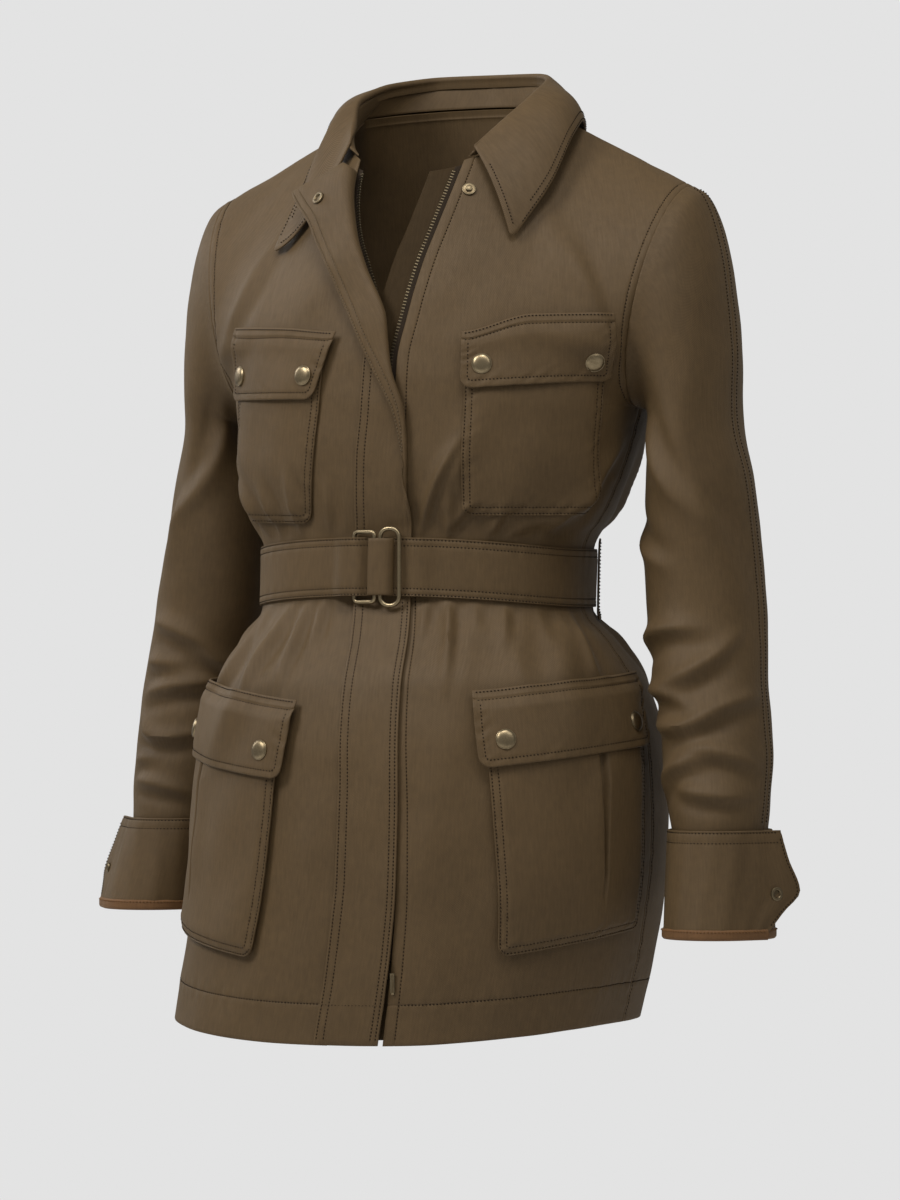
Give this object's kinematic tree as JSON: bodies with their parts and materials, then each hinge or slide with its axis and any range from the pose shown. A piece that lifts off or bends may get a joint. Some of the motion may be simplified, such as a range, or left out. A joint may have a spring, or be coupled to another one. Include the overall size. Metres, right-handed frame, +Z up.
{
  "type": "cotton jacket",
  "caption": "Belted cotton field jacket in its worn, hollow form: open collar, turned-back fly over a zip, flap pockets, cuffs with snap tabs and a belt with wire rings.",
  "frame": {"origin": "between the two points where the shoulder seams meet the neck, where the jacket hangs on its wearer", "axes": "+Z up, the front faces -Y, the wearer's left is +X"},
  "size_m": [0.6103, 0.2991, 0.733],
  "materials": {
    "olive_cotton": "dense cotton twill with a faint sheen",
    "brown_binding": "narrow woven binding",
    "dark_tape": "woven zip tape",
    "antique_brass": "darkened, softly worn"
  },
  "bodies": {
    "jacket": {"back": "olive_cotton", "belt": "olive_cotton", "belt_keeper": "olive_cotton", "belt_loop_left": "olive_cotton", "belt_loop_right": "olive_cotton", "belt_ring_front": "antique_brass", "belt_ring_rear": "antique_brass", "collar_leaf": "olive_cotton", "collar_stand": "olive_cotton", "cuff_binding_left": "brown_binding", "cuff_binding_right": "brown_binding", "cuff_left": "olive_cotton", "cuff_right": "olive_cotton", "flap_chest_left": "olive_cotton", "flap_chest_right": "olive_cotton", "flap_hip_left": "olive_cotton", "flap_hip_right": "olive_cotton", "fly": "olive_cotton", "front_left": "olive_cotton", "front_right": "olive_cotton", "pocket_chest_left": "olive_cotton", "pocket_chest_right": "olive_cotton", "pocket_hip_left": "olive_cotton", "pocket_hip_right": "olive_cotton", "sleeve_left_back": "olive_cotton", "sleeve_left_front": "olive_cotton", "sleeve_right_back": "olive_cotton", "sleeve_right_front": "olive_cotton", "snap_chest_left_inner": "antique_brass", "snap_chest_left_outer": "antique_brass", "snap_chest_right_inner": "antique_brass", "snap_chest_right_outer": "antique_brass", "snap_cuff_left": "antique_brass", "snap_cuff_right": "antique_brass", "snap_fly_top": "antique_brass", "snap_front_top": "antique_brass", "snap_hip_left_inner": "antique_brass", "snap_hip_left_outer": "antique_brass", "snap_hip_right_inner": "antique_brass", "snap_hip_right_outer": "antique_brass", "under_placket": "olive_cotton", "zip_slider": "antique_brass", "zip_tape_left": "dark_tape", "zip_tape_right": "dark_tape"},
    "pull": {"zip_pull": "antique_brass"}
  },
  "joints": [
    {"name": "pull_swing", "type": "hinge", "parent": "jacket", "child": "pull", "pos_m": [0.02644, -0.16269, -0.64279], "axis": [-0.9914, -0.131, 0], "range_deg": [0, 100]}
  ]
}
